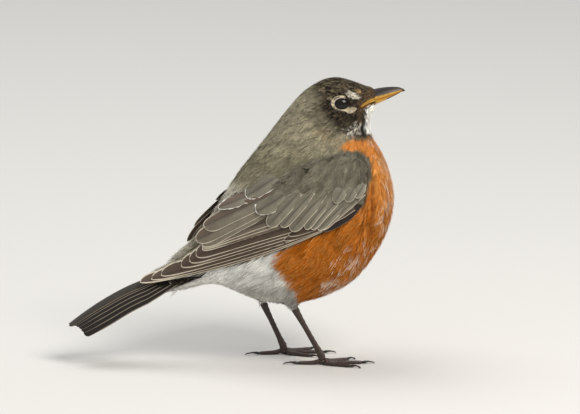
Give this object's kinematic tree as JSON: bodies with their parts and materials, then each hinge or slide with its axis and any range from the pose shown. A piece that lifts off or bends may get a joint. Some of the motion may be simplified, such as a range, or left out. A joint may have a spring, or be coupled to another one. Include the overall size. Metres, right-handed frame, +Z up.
{
  "type": "american robin",
  "caption": "Life-size still model of a standing american robin with folded wings, plump orange breast, grey back and a tail held low.",
  "frame": {"origin": "on the floor, under the middle of the model's box", "axes": "+X forward, the way the bill points; +Y to the bird's left; +Z up"},
  "size_m": [0.1875, 0.0734, 0.1601],
  "materials": {
    "body_plumage": "soft matt contour feathers, orange breast, grey back, blackish head",
    "wing_feathers": "grey-brown vanes with pale edges, faint silky sheen",
    "tail_feathers": "dark brown vanes with thin pale edges, faint silky sheen",
    "bill_horn": "horn-yellow keratin with a dark ridge and tip, satin",
    "eye": "wet, nearly black brown",
    "leg_scales": "dark brown horny scutes, satin",
    "claw_horn": "blackish keratin, satin"
  },
  "bodies": {
    "root": {"head": "body_plumage", "neck": "body_plumage", "chest": "body_plumage", "abdomen": "body_plumage", "rump": "body_plumage", "thigh_left": "body_plumage", "thigh_right": "body_plumage", "wing_left_coverts": "wing_feathers", "wing_left_tertials": "wing_feathers", "wing_left_primaries": "wing_feathers", "wing_right_coverts": "wing_feathers", "wing_right_tertials": "wing_feathers", "wing_right_primaries": "wing_feathers", "tail": "tail_feathers", "upper_bill": "bill_horn", "lower_bill": "bill_horn", "eye_left": "eye", "eye_right": "eye", "tarsus_left": "leg_scales", "foot_left": "leg_scales", "inner_toe_left": "leg_scales", "middle_toe_left": "leg_scales", "outer_toe_left": "leg_scales", "hind_toe_left": "leg_scales", "inner_toe_claw_left": "claw_horn", "middle_toe_claw_left": "claw_horn", "outer_toe_claw_left": "claw_horn", "hind_toe_claw_left": "claw_horn", "tarsus_right": "leg_scales", "foot_right": "leg_scales", "inner_toe_right": "leg_scales", "middle_toe_right": "leg_scales", "outer_toe_right": "leg_scales", "hind_toe_right": "leg_scales", "inner_toe_claw_right": "claw_horn", "middle_toe_claw_right": "claw_horn", "outer_toe_claw_right": "claw_horn", "hind_toe_claw_right": "claw_horn"}
  },
  "joints": []
}
